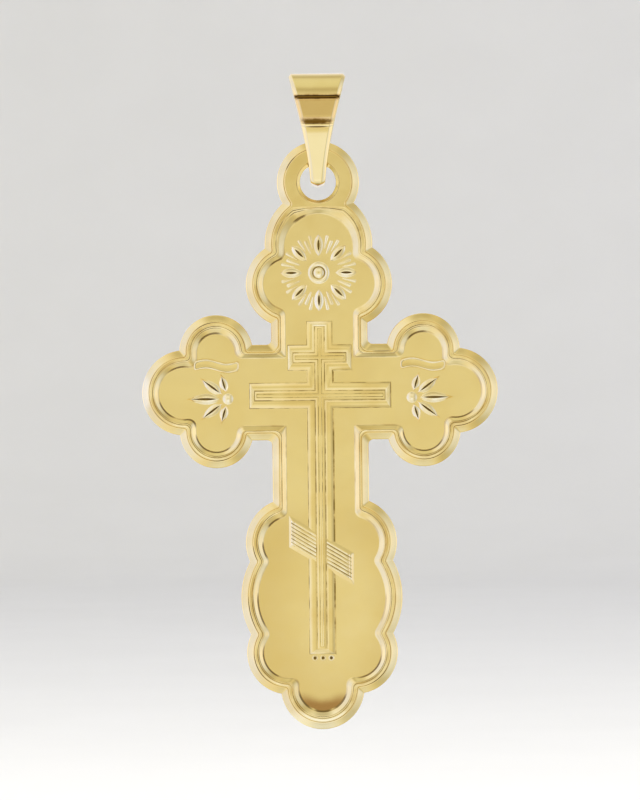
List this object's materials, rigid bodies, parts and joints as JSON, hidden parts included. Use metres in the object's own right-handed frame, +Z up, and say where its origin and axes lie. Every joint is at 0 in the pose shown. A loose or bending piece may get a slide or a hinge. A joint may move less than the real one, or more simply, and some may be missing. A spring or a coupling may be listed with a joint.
{
  "type": "orthodox cross pendant",
  "caption": "Flat lobed gold cross with a raised three-bar cross and sun on its front, swinging by a round ear on a tapered chain bail.",
  "frame": {"origin": "the middle of the channel at the top of the bail, where the chain passes through", "axes": "+Z up, from the cross towards the chain; +X along the channel, to the viewer's right; the raised front faces -Y"},
  "size_m": [0.024, 0.0045, 0.0443],
  "materials": {
    "cross_gold": "14 karat yellow gold, struck and polished",
    "bail_gold": "14 karat yellow gold, high polish"
  },
  "bodies": {
    "bail": {"bail": "bail_gold"},
    "cross": {"cross": "cross_gold"}
  },
  "joints": [
    {"name": "cross_swing", "type": "hinge", "parent": "bail", "child": "cross", "pos_m": [0, 0, -0.0051], "axis": [0, 1, 0], "range_deg": [-90, 90]}
  ]
}
